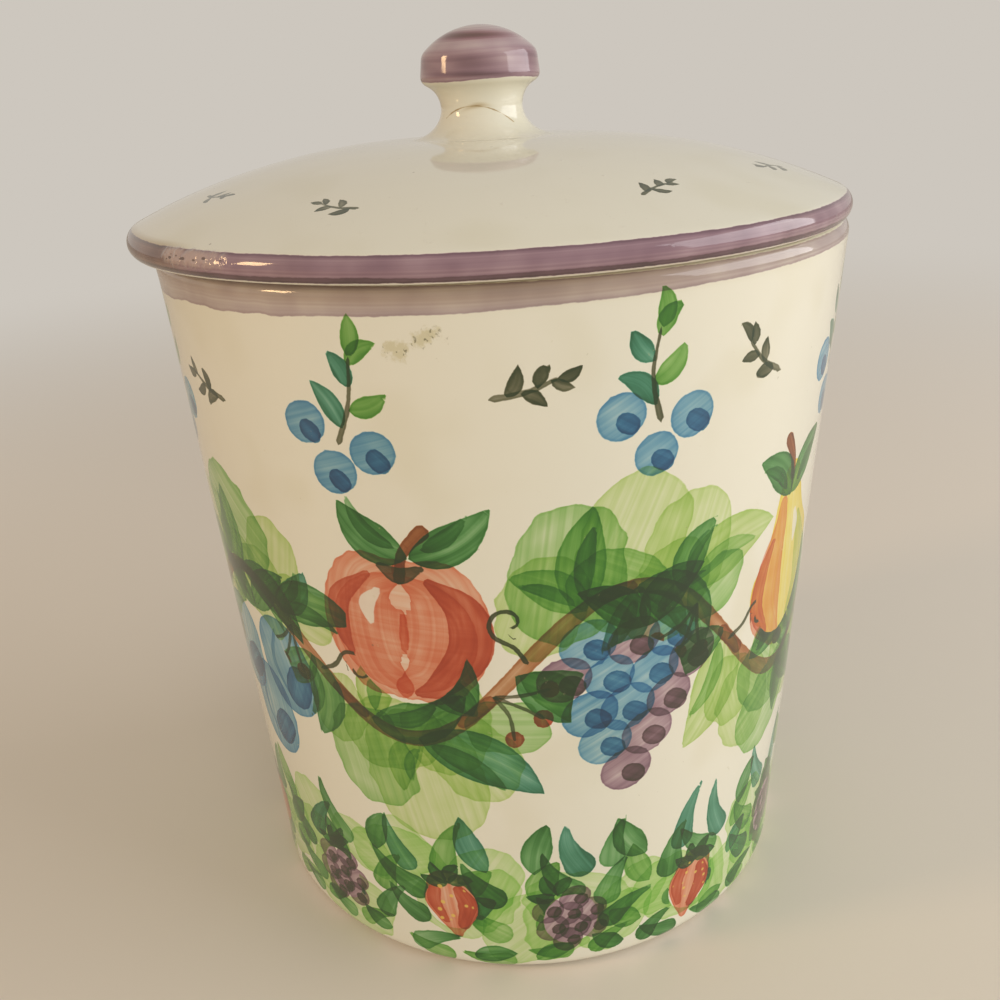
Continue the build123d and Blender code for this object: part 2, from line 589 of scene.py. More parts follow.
class Painter(Brush):
    """Paints fruits, leaves and sprigs as lists of strokes round their own middles."""

    def fruit(self, kind: Fruit) -> Strokes:
        """Return the strokes of one fruit, about 40 mm tall."""
        return getattr(self, kind.value)()

    def pear(self) -> Strokes:
        """Paint a yellow-green pear with a red cheek.

        Returns:
            The strokes.
        """
        return [
            self.shape([(-1, -13, 9), (0, -6, 15), (0, 2, 14), (1, 10, 8.5), (2, 18, 5.5), (2, 21, 4)],
                       Ink.YELLOW, 0.9),
            self.shape([(-6, -16, 2), (-10.5, -8, 4), (-8.5, 1, 3.5), (-4.5, 10, 1)], Ink.LEAF_LIGHT, 0.55),
            self.shape([(3, -18, 3), (8, -9, 6.5), (8, 1, 5.5), (5.5, 10, 3), (5, 16, 1.6)],
                       Ink.RED_WASH, 0.62),
            self.shape([(8, -15, 1.5), (12.5, -7, 2.4), (11.5, 1, 2.2), (8, 8, 0.8)], Ink.RED_DEEP, 0.4),
            self.dab((-0.5, -20.5), 1.9, Ink.OLIVE_BLACK, 0.9, 0.5, 10),
            self.shape([(2, 21, 0.9), (3, 26, 1.1), (6, 31, 1.5)], Ink.RUST, 1.4),
            self.glint([(-3.0, 4, 0.7), (-3.2, 8, 1.5), (-1.8, 12, 0.6)]),
        ]

    def apple(self) -> Strokes:
        """Paint a red apple of two round strokes.

        Returns:
            The strokes.
        """
        left = [(-1, 14, 2.5), (-7.5, 10, 7.5), (-8.4, 0, 9.8), (-6, -10, 7.5), (-1, -14, 3)]
        right = [(1, 14, 2.5), (7.5, 10, 7.5), (9, 0, 9.6), (6.5, -10, 7.5), (1, -14, 3)]
        return [
            self.dab((0, -1), 14.5, Ink.RED_WASH, 0.5, 0.12, 0),
            *[self.shape(half, Ink.RED_WASH, 0.8) for half in (left, right)],
            self.shape([(6, 12, 1), (13, 6, 4), (14, -3, 4.5), (8, -12, 3), (3, -15, 1)], Ink.RED_DEEP, 0.8),
            self.shape([(-7, 12, 0.8), (-14, 5, 2.5), (-14, -3, 2), (-12, -8, 0.8)], Ink.RED_DEEP, 0.6),
            self.shape([(0, 12, 1.2), (1, 18, 1.1), (5, 23, 1.6)], Ink.RUST, 1.4),
            self.shape([(-4, 14.5, 0.8), (0, 12.8, 1.9), (4.5, 15, 0.7)], Ink.OLIVE_BLACK, 0.8),
            self.glint([(-7, 1, 0.9), (-7.5, 5, 1.8), (-5, 8.5, 0.8)]),
        ]

    def lemon(self) -> Strokes:
        """Paint a yellow lemon with an ochre shade.

        Returns:
            The strokes.
        """
        body = [(-20, 0, 1.5), (-15, 0, 6), (-8, 0, 11), (0, 0, 13), (8, 0, 11.5), (15, 0, 6), (20, 0.5, 2)]
        return [
            self.shape(body, Ink.YELLOW, 1.15),
            self.shape([(-13, -6, 1), (-4, -9, 3.5), (6, -8, 3.5), (14, -3, 1)], Ink.OCHRE, 0.8),
            self.shape([(9, 6, 0.8), (14, 3, 2.2), (18, 1, 1)], Ink.LEAF_LIGHT, 0.9),
            self.dab((-20.5, 0), 2.0, Ink.LEAF_MID, 1.0, 0.4),
            self.glint([(-7, 5.5, 0.7), (-1, 7.5, 1.7), (5, 6.2, 0.7)]),
        ]

    def fig(self) -> Strokes:
        """Paint a mauve fig.

        Returns:
            The strokes.
        """
        return [
            self.shape([(0, -12, 11), (0, -5, 14), (0, 4, 11.5), (1, 12, 6.5), (2, 19, 2.6)],
                       Ink.MAUVE, 1.0),
            self.shape([(6, -15, 2), (9.5, -6, 4.5), (7, 4, 3.5), (4, 12, 1)], Ink.MAUVE_DEEP, 0.6),
            self.shape([(-5, -17, 0.8), (-9.5, -7, 2.4), (-6.5, 4, 2), (-2, 13, 0.7)], Ink.MAUVE_DEEP, 0.35),
            self.shape([(0, -20, 0.7), (-1, -8, 1.2), (0.5, 6, 0.9)], Ink.MAUVE_DEEP, 0.35),
            self.dab((0, -21.5), 2.2, Ink.WINE, 0.9, 0.3),
            self.shape([(2, 19, 1.2), (4, 24, 1.6)], Ink.LEAF_DARK, 1.0),
        ]

    def plums(self) -> Strokes:
        """Paint three blue plums.

        Returns:
            The strokes.
        """
        plums: Strokes = []
        for x, y, tilt in ((-11, 3, 80), (11, 5, 105), (0, -11, 92)):
            foot = x - 5 * math.cos(math.radians(tilt)) - 2
            plums += [
                self.dab((x, y), 10.2, Ink.BLUE_WASH, 1.05, 0.32, tilt),
                self.dab((x + 3.6, y - 4.4), 4.4, Ink.BLUE_DEEP, 0.85, 0.45, tilt - 40),
                self.shape([(foot, y - 8, 0.4), (x - 5, y, 0.8), (x - 2, y + 9, 0.4)], Ink.BLUE_DEEP, 0.3),
            ]
        return plums

    def grapes(self) -> Strokes:
        """Paint a bunch of blue and mauve grapes.

        Returns:
            The strokes.
        """
        bunch: Strokes = []
        for row, count in enumerate((3, 4, 3, 2, 1)):
            for k in range(count):
                x, y = (k - (count - 1) / 2) * 9.6 + self.slip(0.7), 15 - row * 8.2 + self.slip(0.7)
                pair = (Ink.BLUE_WASH, Ink.BLUE_DEEP) if (row + k) % 3 != 1 else (Ink.MAUVE, Ink.MAUVE_DEEP)
                bunch += [self.dab((x, y), 5.5, pair[0], 1.0, 0.15),
                          self.dab((x + 1.7, y - 1.6), 2.5, pair[1], 0.8, 0.3, -30)]
        return bunch

    def leaf(self, root: Pair, heading: float, length: float, ink: Ink, load: float = 1.0) -> Strokes:
        """Paint one leaf.

        Args:
            root: Where its stalk joins.
            heading: Its direction in degrees.
            length: Its length.
            ink: Its colour.
            load: How much colour is on the brush.

        Returns:
            One broad stroke, and for most large leaves a darker half.
        """
        bend = self.random.choice((-0.14, -0.08, 0.08, 0.14))
        leaf = [self.stroke(root, heading, length, length * 0.235, ink, bend, load)]
        if length > 17 and self.random.random() < 0.75:
            dark = Ink.LEAF_DARK if ink is not Ink.LEAF_LIGHT else Ink.LEAF_MID
            turn, side = math.radians(heading), 6 if bend > 0 else -6
            start = (root[0] + 3 * math.cos(turn), root[1] + 3 * math.sin(turn))
            leaf.append(self.stroke(start, heading - side, length * 0.72, length * 0.085, dark, bend, 0.5))
        return leaf

    def spray(self, length: float, leaf: float, inks: tuple[Ink, ...]) -> Strokes:
        """Paint a stem that goes up, with four leaves beside it and one at its tip.

        Args:
            length: Length of the stem.
            leaf: Length of a leaf.
            inks: Colours of the leaves, in turn.

        Returns:
            The strokes.
        """
        bow = self.slip(0.12) * length
        stem = [(0, 0), (bow, length * 0.5), (bow * 0.4, length)]
        spray = [self.line(stem, 0.75, Ink.OLIVE_BLACK, 0.7, 0.4)]
        for k in range(4):
            u, side = 0.18 + 0.24 * k, 1 if k % 2 else -1
            heading = 90 - side * self.vary(52 - 14 * u, 0.12)
            at = (bow * math.sin(u * math.pi), length * u)
            spray += self.leaf(at, heading, leaf * (1.08 - 0.35 * u), inks[k % len(inks)])
        return spray + self.leaf((bow * 0.4, length), 90 + self.slip(12), leaf * 0.8, inks[-1])

    def bilberries(self) -> Strokes:
        """Paint a sprig with three bilberries at its foot.

        Returns:
            The strokes.
        """
        sprig = self.spray(21, 12.0, (Ink.TEAL, Ink.LEAF_MID))
        for x, y in ((-9.5, 2), (8.5, 0), (-0.5, -8)):
            sprig += [self.dab((x, y), 5.6, Ink.BLUE_WASH, 1.1, 0.12),
                      self.dab((x + 1.6, y - 1.8), 2.6, Ink.BLUE_DEEP, 0.85, 0.35, -30)]
        return sprig

    def twig(self) -> Strokes:
        """Paint a small dark twig."""
        return self.spray(13.5, 6.8, (Ink.OLIVE_BLACK,))

    def berries(self) -> Strokes:
        """Paint three red berries on thin stalks that fan upwards.

        Returns:
            The strokes.
        """
        group: Strokes = []
        for lean in (-34, 0, 34):
            turn = math.radians(90 + lean + self.slip(6))
            x, y = math.cos(turn) * 14, math.sin(turn) * 14
            stalk = [(0, 0), (x * 0.4 - 0.6, y * 0.55), (x, y)]
            group += [self.line(stalk, 0.55, Ink.OLIVE_BLACK, 0.6, 0.8),
                      self.dab((x, y), 2.5, Ink.RED_DEEP, 1.0, 0.12)]
        return group

    def tendril(self) -> Strokes:
        """Paint a thin curl.

        Returns:
            The strokes.
        """
        size = 9.5
        curl = [(size * (0.62 - 0.5 * u), 0.4 + 1.9 * math.pi * u) for u in np.linspace(0.0, 1.0, 10)]
        points = [(reach * math.sin(turn), size * 1.3 - reach * math.cos(turn)) for reach, turn in curl]
        return [self.line([(0.0, 0.0), (size * 0.1, size * 0.5), *points], 0.6, Ink.OLIVE_BLACK, 0.8, 0.6)]

    def sepals(self, height: float, turns: tuple[int, ...], length: float, width: float) -> Strokes:
        """Paint the green cap of a berry."""
        return [self.stroke((0, height), turn, length, width, Ink.LEAF_DARK, 0.1, 1.0) for turn in turns]

    def strawberry(self) -> Strokes:
        """Paint a strawberry with a green cap.

        Returns:
            The strokes.
        """
        return [
            self.shape([(0, 4.5, 5.6), (0, 0, 6.6), (0.3, -5.5, 4.2), (0.5, -10, 1.2)], Ink.RED_WASH, 1.1),
            self.shape([(2.6, 4, 1.6), (4.2, -1, 2.6), (2.2, -7, 1.5)], Ink.RED_DEEP, 0.8),
            self.shape([(-3.4, 4, 1.5), (-4.2, 0, 1.8), (-2, -6, 0.9)], Ink.RED_DEEP, 0.55),
            *self.sepals(6.0, (15, 62, 118, 165), 7.5, 1.8),
        ]

    def bramble(self) -> Strokes:
        """Paint a mauve bramble of overlapping dabs.

        Returns:
            The strokes.
        """
        places = ((-3.8, 4.6), (3.4, 5.0), (0, 1.4), (-5.2, -1.0),
                  (5.2, -0.6), (-0.4, -3.4), (-3.6, -6.2), (3.6, -5.8))
        cluster: Strokes = []
        for x, y in places:
            cluster += [self.dab((x, y), 3.7, Ink.MAUVE, 1.0, 0.15),
                        self.dab((x + 1.1, y - 1.0), 1.7, Ink.MAUVE_DEEP, 0.9, 0.15)]
        return cluster + self.sepals(8.0, (30, 88, 150), 7.0, 1.7)

    def crack(self) -> Strokes:
        """Return the hairline where the potter joined the neck, seen from the front."""
        points = [(x, 2.16 - 0.1733 * x - 0.0353 * x * x) for x in np.linspace(-11.5, 9.5, 12)]
        return [self.line(points, 0.055, Ink.UMBER, 0.6, 0.8)]


@dataclass
class Sheet:
    """Writes one node tree with short calls."""

    tree: bpy.types.NodeTree

    @cached_property
    def place(self) -> Socket:
        """Return the place in the object's own coordinates."""
        return self.node("ShaderNodeTexCoord").outputs["Object"]

    def node(self, kind: str, feeds: dict | None = None, **settings: object) -> bpy.types.Node:
        """Add a node.

        Args:
            kind: Its type name.
            feeds: What goes into its sockets, by name or number: another socket, or a value.
            settings: Its properties.

        Returns:
            The node.
        """
        made = self.tree.nodes.new(kind)
        for name, value in settings.items():
            setattr(made, name, value)
        for key, value in (feeds or {}).items():
            if isinstance(value, Socket):
                self.tree.links.new(value, made.inputs[key])
            else:
                made.inputs[key].default_value = value
        return made

    def math(self, operation: str, *terms: object, clamp: bool = False) -> Socket:
        """Add a Math node and return its result."""
        feeds = dict(enumerate(terms))
        return self.node("ShaderNodeMath", feeds, operation=operation, use_clamp=clamp).outputs[0]

    def times(self, a: object, b: object) -> Socket:
        """Multiply two values."""
        return self.math("MULTIPLY", a, b)

    def scaled(self, value: object, by: object, plus: object, clamp: bool = False) -> Socket:
        """Multiply a value and add another."""
        return self.math("MULTIPLY_ADD", value, by, plus, clamp=clamp)

    def step(self, value: object, low: float, high: float, to_low: float = 0.0,
             to_high: float = 1.0) -> Socket:
        """Map a value smoothly from low and high to two results, held outside them."""
        feeds = {0: value, 1: low, 2: high, 3: to_low, 4: to_high}
        return self.node("ShaderNodeMapRange", feeds, interpolation_type="SMOOTHSTEP").outputs[0]

    def grain(self, scale: float, detail: float = 2.0, rough: float = 0.5) -> Socket:
        """Add a noise that is about 0 to 1 and return it."""
        feeds = {"Vector": self.place, "Scale": scale, "Detail": detail, "Roughness": rough}
        return self.node("ShaderNodeTexNoise", feeds).outputs[0]

    def mix(self, share: object, a: object, b: object, how: str = "MIX") -> Socket:
        """Mix two colours and return the result."""
        feeds = {0: share, 6: a, 7: b}
        return self.node("ShaderNodeMix", feeds, data_type="RGBA", blend_type=how).outputs[2]

    def read(self, name: str, part: str = "Fac") -> Socket:
        """Read an attribute of the mesh."""
        return self.node("ShaderNodeAttribute", attribute_name=name).outputs[part]

    def end(self, kind: str, shader: bpy.types.Node) -> None:
        """Give a shader to the output of a material or a world."""
        self.node(f"ShaderNodeOutput{kind}", {0: shader.outputs[0]})

    def finish(self, strength: float, distance: float, height: Socket, **feeds: object) -> None:
        """Make the bumpy surface and give it to the output."""
        bump = self.node("ShaderNodeBump", {"Strength": strength, "Distance": distance, "Height": height})
        self.end("Material", self.node("ShaderNodeBsdfPrincipled", {"Normal": bump.outputs[0], **feeds}))


@dataclass
class Coat(Sheet):
    """The nodes of a coat of glaze while it is made: its colour, least roughness and pits so far."""

    speck_colour: Colour = (0.16, 0.11, 0.07)
    seed_colour: Colour = (0.72, 0.50, 0.10)
    blister_colour: Colour = (0.50, 0.37, 0.32)
    hole_colour: Colour = (0.09, 0.055, 0.05)
    crust_colour: Colour = (0.50, 0.44, 0.22)
    dirt_colour: Colour = (0.13, 0.12, 0.065)
    colour: Socket | None = None
    rough: Socket | None = None
    pits: Socket | None = None

    def stain(self, share: object, colour: Colour) -> None:
        """Lay one more colour over the coat, by a share."""
        self.colour = self.mix(share, self.colour, (*colour, 1.0))

    def specks(self) -> None:
        """Add a few brown specks and pinholes."""
        cells = self.node("ShaderNodeTexVoronoi", {"Vector": self.place, "Scale": 110.0})
        chosen = self.node("ShaderNodeSeparateColor", {0: cells.outputs["Color"]}).outputs
        inside = self.math("LESS_THAN", cells.outputs["Distance"], self.scaled(chosen[1], 0.035, 0.012))
        self.rough = self.pits = self.times(inside, self.math("GREATER_THAN", chosen[0], 0.9))
        self.stain(self.times(self.pits, 0.5), self.speck_colour)

    def seeds(self) -> None:
        """Add the yellow seeds of the strawberries."""
        dots = self.node("ShaderNodeTexVoronoi", {"Vector": self.place, "Scale": 300.0, "Randomness": 0.7})
        marked = self.step(self.read("seeded"), 0.4, 0.6)
        dot = self.times(self.step(dots.outputs["Distance"], 0.26, 0.17), marked)
        self.stain(self.times(dot, 0.85), self.seed_colour)

    def blisters(self) -> None:
        """Add the lumpy stretch where the glaze has boiled and burst into small holes."""
        marked = self.math("SUBTRACT", self.read("chipped"), 0.75)
        ragged = self.scaled(self.grain(240.0, 3.0, 0.7), 1.5, marked)
        pale = self.step(ragged, 0.2, 1.0, 0.0, 0.8)
        self.stain(pale, self.blister_colour)
        squashed = {0: self.place, 1: (0.85, 0.85, 1.9)}
        flat = self.node("ShaderNodeVectorMath", squashed, operation="MULTIPLY").outputs[0]
        cells = self.node("ShaderNodeTexVoronoi", {"Vector": flat, "Scale": 560.0, "Randomness": 0.9})
        hole = self.step(self.scaled(self.read("pitted"), -0.36, cells.outputs["Distance"]), 0.06, -0.06)
        self.stain(self.times(hole, 0.85), self.hole_colour)
        lumps = self.times(self.grain(480.0, 1.0), self.times(pale, -14.0))
        self.pits = self.math("ADD", self.math("MAXIMUM", self.pits, self.times(hole, 3.0)), lumps)
        self.rough = self.times(hole, 0.5)

    def scuff(self) -> None:
        """Add the lacy crust of old dirt, denser to the right."""
        crust = self.math("ADD", self.read("scuffed"), self.scaled(self.grain(270.0, 4.0, 0.75), 2.6, -1.3))
        crusty = self.step(crust, 0.42, 0.85)
        self.stain(self.times(crusty, 0.55), self.crust_colour)
        x = self.node("ShaderNodeSeparateXYZ", {0: self.place}).outputs[0]
        denser = self.step(x, -0.021, -0.014, -0.04, 0.03)
        dirt = self.step(self.math("ADD", self.grain(1000.0, 2.0, 0.6), denser), 0.56, 0.64)
        self.stain(self.times(self.times(dirt, 0.75), crusty), self.dirt_colour)
        self.rough = self.times(crusty, 0.55)


def blank_nodes(owner: bpy.types.Material | bpy.types.World) -> bpy.types.NodeTree:
    """Empty the nodes of a material or a world.

    Args:
        owner: The material or world.

    Returns:
        Its empty tree.
    """
    owner.use_nodes = True
    owner.node_tree.nodes.clear()
    return owner.node_tree


def brush_group() -> bpy.types.NodeTree:
    """Make the group of nodes that lays one layer of strokes over a colour.

    Returns:
        The group. A touch is translucent: crisp and a little darker at its edge, lighter in its middle,
        and streaked along its path.
    """
    tree = bpy.data.node_groups.new("brush_layer", "ShaderNodeTree")
    for name in ("Colour", "Path", "Edge", "Ink", "Stray", "Blotch", "Glaze", "Cover"):
        kind = "NodeSocketColor" if name in ("Colour", "Path", "Ink", "Glaze") else "NodeSocketFloat"
        tree.interface.new_socket(name, in_out="INPUT", socket_type=kind)
    tree.interface.new_socket("Colour", in_out="OUTPUT", socket_type="NodeSocketColor")
    sheet = Sheet(tree)
    given = sheet.node("NodeGroupInput").outputs
    seed, across, half = sheet.node("ShaderNodeSeparateColor", {0: given["Path"]}).outputs
    line = sheet.math("SUBTRACT", sheet.math("ABSOLUTE", across), half)
    outside = sheet.math("ADD", sheet.math("MAXIMUM", line, given["Edge"]), given["Stray"])
    wet = sheet.scaled(outside, -3.8, 0.5, clamp=True)
    rim = sheet.scaled(outside, 1.5, 1.15, clamp=True)
    middle = sheet.scaled(outside, -0.3, -0.27, clamp=True)
    feeds = {"W": sheet.math("ADD", seed, across), "Scale": 0.6, "Detail": 2.0, "Roughness": 0.55}
    streak = sheet.node("ShaderNodeTexNoise", feeds, noise_dimensions="1D").outputs[0]
    body = sheet.scaled(middle, -0.22, sheet.scaled(rim, 0.34, sheet.scaled(streak, 0.8, 0.46)))
    load = sheet.times(wet, sheet.math("MAXIMUM", sheet.math("ADD", body, given["Blotch"]), 0.12))
    under = sheet.mix(sheet.times(wet, given["Cover"]), given["Colour"], given["Glaze"])
    passed = sheet.node("ShaderNodeGamma", {0: given["Ink"], 1: load}).outputs[0]
    sheet.node("NodeGroupOutput", {0: sheet.mix(1.0, under, passed, "MULTIPLY")})
    return tree


class Flaw(Enum):
    """What a coat of glaze may carry besides its specks."""

    SEEDS = "seeds"
    BLISTERS = "blisters"
    SCUFF = "scuff"


@dataclass(frozen=True)
class Glaze:
    """The glossy cream glaze, painted or plain, that covers the pot."""

    name: str
    flaws: tuple[Flaw, ...] = ()
    colour: Colour = (0.785, 0.73, 0.628)
    thin_colour: Colour = (0.72, 0.655, 0.52)
    depth_colour: Colour = (0.30, 0.62, 0.27)
    depth: float = 0.065
    hiding: float = 0.8
    roughness: float = 0.045
    wave: float = 0.00005
    ior: float = 1.52

    def material(self, painting: Painting, group: bpy.types.NodeTree) -> bpy.types.Material:
        """Make the material of a painted surface.

        Args:
            painting: The layers written on its mesh.
            group: The nodes that lay one layer.

        Returns:
            The material.
        """
        made = bpy.data.materials.new(self.name)
        coat = Coat(blank_nodes(made))
        thin = coat.step(coat.grain(38.0, 1.0), 0.52, 0.74, 0.0, 0.55)
        bare = coat.mix(thin, (*self.colour, 1.0), (*self.thin_colour, 1.0))
        stray, blotch = (coat.times(coat.math("SUBTRACT", grain, 0.5), 0.6)
                         for grain in (coat.grain(340.0, 2.0, 0.6), coat.grain(120.0, 1.0)))
        coat.colour = coat.mix(1.0, bare, coat.read("soft_ink", "Color"), "MULTIPLY")
        for k in range(len(painting.washes) + len(painting.covers)):
            feeds = {"Colour": coat.colour, "Stray": stray, "Blotch": blotch, "Glaze": bare,
                     "Path": coat.read(f"path_{k}", "Color"), "Edge": coat.read(f"edge_{k}"),
                     "Ink": coat.read(f"ink_{k}", "Color"),
                     "Cover": 0.0 if k < len(painting.washes) else self.hiding}
            coat.colour = coat.node("ShaderNodeGroup", feeds, node_tree=group).outputs[0]
        coat.stain(self.depth, self.depth_colour)
        coat.specks()
        for flaw in self.flaws:
            getattr(coat, flaw.value)()
        roughness = coat.math("MAXIMUM", coat.scaled(coat.grain(90.0), 0.05, self.roughness), coat.rough)
        height = coat.scaled(coat.grain(700.0, 2.0, 0.6), 0.022, coat.grain(42.0, 2.0, 0.4))
        feeds = {"Base Color": coat.colour, "Roughness": roughness, "IOR": self.ior}
        coat.finish(1.0, self.wave, coat.scaled(coat.pits, -0.9, height), **feeds)
        return made


@dataclass(frozen=True)
class BareClay:
    """The dry unglazed clay of the base."""

    name: str = "bare_clay"
    colour: Colour = (0.62, 0.50, 0.38)
    grog: Colour = (0.44, 0.33, 0.24)
    grey: Colour = (0.52, 0.45, 0.38)
    grit: float = 0.0003

    def material(self) -> bpy.types.Material:
        """Make the material of the bare base.

        Returns:
            The material.
        """
        made = bpy.data.materials.new(self.name)
        sheet = Sheet(blank_nodes(made))
        speckle = sheet.step(sheet.grain(900.0, 3.0, 0.6), 0.5, 0.64)
        colour = sheet.mix(sheet.times(speckle, 0.55), (*self.colour, 1.0), (*self.grog, 1.0))
        colour = sheet.mix(sheet.step(sheet.grain(28.0), 0.5, 0.75, 0.0, 0.3), colour, (*self.grey, 1.0))
        feeds = {"Base Color": colour, "Roughness": sheet.scaled(speckle, 0.12, 0.78)}
        sheet.finish(0.7, self.grit, speckle, **feeds)
        return made


@dataclass(kw_only=True)
class Pottery:
    """What the jar, the lid and the knob have in common: turning, unevenness, glaze and the frame.

    Each swell is the size of the wall's soft unevenness in metres and its depth in millimetres.
    """

    name: str
    node: str
    body: str
    material_slot: str
    glaze: Glaze
    seed: int
    axis: float = 0.0
    sectors: int = 448
    swells: tuple[Pair, ...] = ((0.07, 0.35), (0.02, 0.06))
    sharp_from: float = 35.0
    weld: float = 0.02

    def __post_init__(self) -> None:
        """Take a brush."""
        self.brush = Painter(self.seed)

    def profile(self) -> Profile:
        """Return the piece's profile."""
        raise NotImplementedError

    def zero(self) -> float:
        """Return the distance along the profile that the painting counts from."""
        raise NotImplementedError

    def give(self, height: Array) -> Array:
        """Return how far the wall may be uneven at each height, 0 to 1."""
        raise NotImplementedError

    def paint(self) -> None:
        """Lay the piece's strokes."""
        raise NotImplementedError

    def flaws(self) -> None:
        """Mark where the glaze has its flaws; by default nowhere."""

    def turn(self) -> None:
        """Turn the profile into a closed piece, as on a potter's wheel, an eighth at a time."""
        deselect_all()
        bpy.ops.mesh.primitive_plane_add(size=MM)
        self.piece = bpy.context.object
        self.piece.name = self.piece.data.name = self.name
        bpy.ops.object.mode_set(mode="EDIT")
        bpy.ops.mesh.select_all(action="SELECT")
        bpy.ops.mesh.merge(type="CENTER")
        first, middle = self.outline[0] * MM, (self.axis * MM, 0.0, 0.0)
        bpy.ops.transform.translate(value=(middle[0] + first[0], 0.0, first[1]))
        for step in np.diff(self.outline, axis=0) * MM:
            bpy.ops.mesh.extrude_region_move(TRANSFORM_OT_translate={"value": (step[0], 0.0, step[1])})
        bpy.ops.mesh.select_all(action="SELECT")
        eighth = math.pi / 4
        bpy.ops.mesh.spin(steps=self.sectors // 8, angle=eighth, center=middle, axis=(0, 0, 1))
        for eighths in (1, 2, 4):
            bpy.ops.mesh.select_all(action="SELECT")
            bpy.ops.mesh.duplicate()
            bpy.ops.transform.rotate(value=eighths * eighth, orient_axis="Z", center_override=middle)
        bpy.ops.mesh.select_all(action="SELECT")
        bpy.ops.mesh.remove_doubles(threshold=self.weld * MM)
        bpy.ops.mesh.normals_make_consistent(inside=False)
        bpy.ops.object.mode_set(mode="OBJECT")

    def build(self) -> None:
        """Turn the piece and make it slightly uneven."""
        self.outline = self.profile().outline()
        self.turn()
        give = np.round(self.give(vertex_places(self.piece.data)[:, 2]), 2)
        group = self.piece.vertex_groups.new(name="uneven")
        for share in np.unique(give[give > 0.0]):
            group.add(np.flatnonzero(give == share).tolist(), float(share), "REPLACE")
        for size, depth in self.swells:
            clouds = bpy.data.textures.new(f"{self.name}_clay", "CLOUDS")
            clouds.noise_scale, clouds.noise_depth = size, 0
            uneven = self.piece.modifiers.new("uneven", "DISPLACE")
            uneven.texture, uneven.texture_coords, uneven.vertex_group = clouds, "LOCAL", "uneven"
            uneven.mid_level, uneven.strength = 1.0, depth * MM
            bpy.ops.object.modifier_apply(modifier=uneven.name)
        bpy.ops.object.shade_smooth_by_angle(angle=math.radians(self.sharp_from))

    def dress(self, group: bpy.types.NodeTree) -> None:
        """Paint and glaze the piece and tie it to the frame.

        Args:
            group: The nodes that lay one layer of strokes.
        """
        self.surface = Surface(self.piece.data, self.outline, self.axis, self.zero())
        self.painting = Painting(self.surface)
        self.paint()
        self.flaws()
        self.painting.write()
        self.piece.data.materials.append(self.glaze.material(self.painting, group))
        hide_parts(self.node)
        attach(self.piece, self.body)
        LOG.info("%s: %d strokes in %d + %d layers, %d vertices", self.name, self.painting.count,
                 len(self.painting.washes), len(self.painting.covers), len(self.surface.angle))


